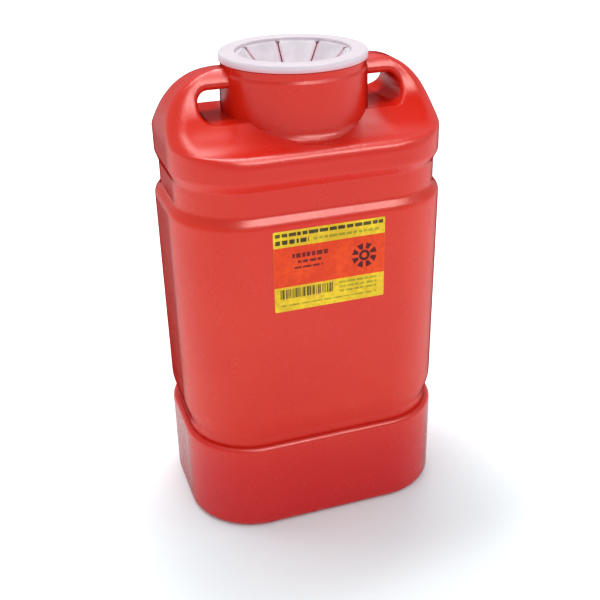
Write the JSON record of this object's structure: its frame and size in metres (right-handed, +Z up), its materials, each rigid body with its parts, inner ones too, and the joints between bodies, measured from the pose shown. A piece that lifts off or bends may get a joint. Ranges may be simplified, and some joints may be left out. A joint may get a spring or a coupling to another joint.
{
  "type": "sharps container",
  "caption": "Tall hollow plastic bottle with rounded rectangular plan, raised through-handles beside a wide neck, and a white funnel closed by flexible petals for one-way disposal of sharps.",
  "frame": {"origin": "centre of the standing face", "axes": "+Z up, front label faces -Y, handles at +X and -X"},
  "size_m": [0.2648, 0.192, 0.457],
  "materials": {
    "body_plastic": "translucent red blow-moulded polypropylene, satin, with soft mould texture",
    "funnel_plastic": "white injection-moulded polypropylene, satin",
    "label_film": null
  },
  "bodies": {
    "container": {"container_body": "body_plastic", "funnel_ring": "funnel_plastic", "front_label": "label_film"},
    "petal_1": {"petal_1": "funnel_plastic"},
    "petal_2": {"petal_2": "funnel_plastic"},
    "petal_3": {"petal_3": "funnel_plastic"},
    "petal_4": {"petal_4": "funnel_plastic"},
    "petal_5": {"petal_5": "funnel_plastic"},
    "petal_6": {"petal_6": "funnel_plastic"},
    "petal_7": {"petal_7": "funnel_plastic"},
    "petal_8": {"petal_8": "funnel_plastic"}
  },
  "joints": [
    {"name": "petal_1_flex", "type": "hinge", "parent": "container", "child": "petal_1", "pos_m": [0.04416, 0.01695, 0.453], "axis": [0.3584, -0.9336, 0], "range_deg": [0, 38], "stiffness_Nm_per_rad": 0.05},
    {"name": "petal_2_flex", "type": "hinge", "parent": "container", "child": "petal_2", "pos_m": [0.01924, 0.04321, 0.453], "axis": [0.9135, -0.4067, 0], "range_deg": [0, 38], "stiffness_Nm_per_rad": 0.05},
    {"name": "petal_3_flex", "type": "hinge", "parent": "container", "child": "petal_3", "pos_m": [-0.01695, 0.04416, 0.453], "axis": [0.9336, 0.3584, 0], "range_deg": [0, 38], "stiffness_Nm_per_rad": 0.05},
    {"name": "petal_4_flex", "type": "hinge", "parent": "container", "child": "petal_4", "pos_m": [-0.04321, 0.01924, 0.453], "axis": [0.4067, 0.9135, 0], "range_deg": [0, 38], "stiffness_Nm_per_rad": 0.05},
    {"name": "petal_5_flex", "type": "hinge", "parent": "container", "child": "petal_5", "pos_m": [-0.04416, -0.01695, 0.453], "axis": [-0.3584, 0.9336, 0], "range_deg": [0, 38], "stiffness_Nm_per_rad": 0.05},
    {"name": "petal_6_flex", "type": "hinge", "parent": "container", "child": "petal_6", "pos_m": [-0.01924, -0.04321, 0.453], "axis": [-0.9135, 0.4067, 0], "range_deg": [0, 38], "stiffness_Nm_per_rad": 0.05},
    {"name": "petal_7_flex", "type": "hinge", "parent": "container", "child": "petal_7", "pos_m": [0.01695, -0.04416, 0.453], "axis": [-0.9336, -0.3584, 0], "range_deg": [0, 38], "stiffness_Nm_per_rad": 0.05},
    {"name": "petal_8_flex", "type": "hinge", "parent": "container", "child": "petal_8", "pos_m": [0.04321, -0.01924, 0.453], "axis": [-0.4067, -0.9135, 0], "range_deg": [0, 38], "stiffness_Nm_per_rad": 0.05}
  ]
}
